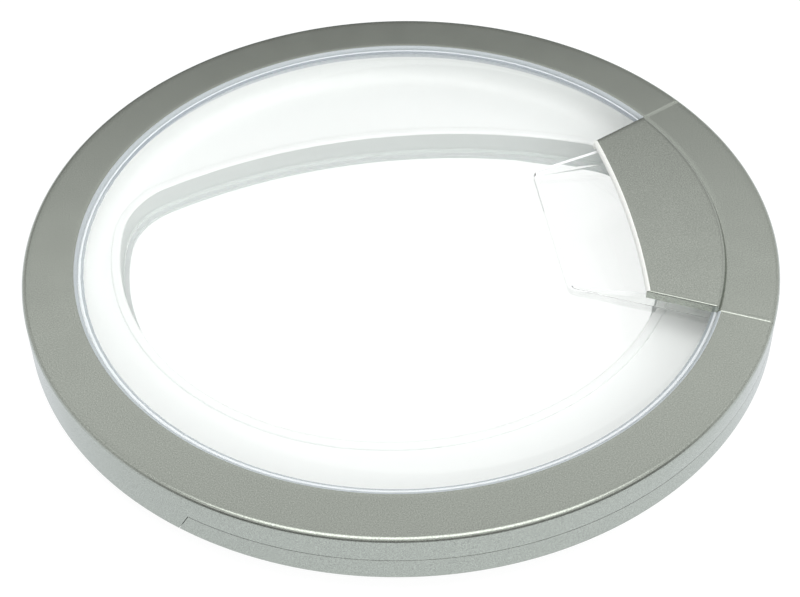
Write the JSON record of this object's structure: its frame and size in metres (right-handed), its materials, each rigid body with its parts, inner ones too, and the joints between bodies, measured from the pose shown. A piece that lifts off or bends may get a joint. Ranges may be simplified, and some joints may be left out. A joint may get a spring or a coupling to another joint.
{
  "type": "dryer door",
  "caption": "Round tumble-dryer door with a silver ring, raised grip over a finger pocket, clear front panel, white inner frame with collar and pane, side hinge and latch hook.",
  "frame": {"origin": "on the ring's axis, at the table under the collar's rear rim", "axes": "+Z along the ring's axis out of the front face, +X towards the grip, hinge on the -X side"},
  "size_m": [0.493, 0.493, 0.0532],
  "materials": {
    "silver_paint": "satin metallic silver paint on moulded plastic",
    "clear_panel": "clear polished moulded plastic",
    "clear_pane": "clear polished pane",
    "white_plastic": "fine satin moulded plastic",
    "pale_rubber": "matte",
    "grey_rubber": "matte",
    "zinc_steel": "bright zinc plated",
    "hinge_steel": "zinc plated sheet",
    "bush_plastic": "natural moulded plastic",
    "grey_plastic": "satin moulded plastic"
  },
  "bodies": {
    "door": {"outer_ring": "silver_paint", "handle": "silver_paint", "rear_ring": "silver_paint", "window_panel": "clear_panel", "inner_frame": "white_plastic", "collar": "white_plastic", "inner_pane": "clear_pane", "pane_seal": "pale_rubber", "panel_seal": "pale_rubber", "drum_seal": "grey_rubber", "frame_screws": "zinc_steel", "handle_screws": "zinc_steel", "hinge_screws": "zinc_steel", "latch_screws": "zinc_steel", "hinge_arm": "hinge_steel", "hinge_pin": "zinc_steel", "pin_clip": "zinc_steel", "latch_hook": "grey_plastic"},
    "cabinet_leaf": {"hinge_plate": "hinge_steel", "upper_bush": "bush_plastic", "lower_bush": "bush_plastic"}
  },
  "joints": [
    {"name": "door_hinge", "type": "hinge", "parent": "door", "child": "cabinet_leaf", "pos_m": [-0.232, 0, 0.0072], "axis": [0, 1, 0], "range_deg": [0, 170]}
  ]
}
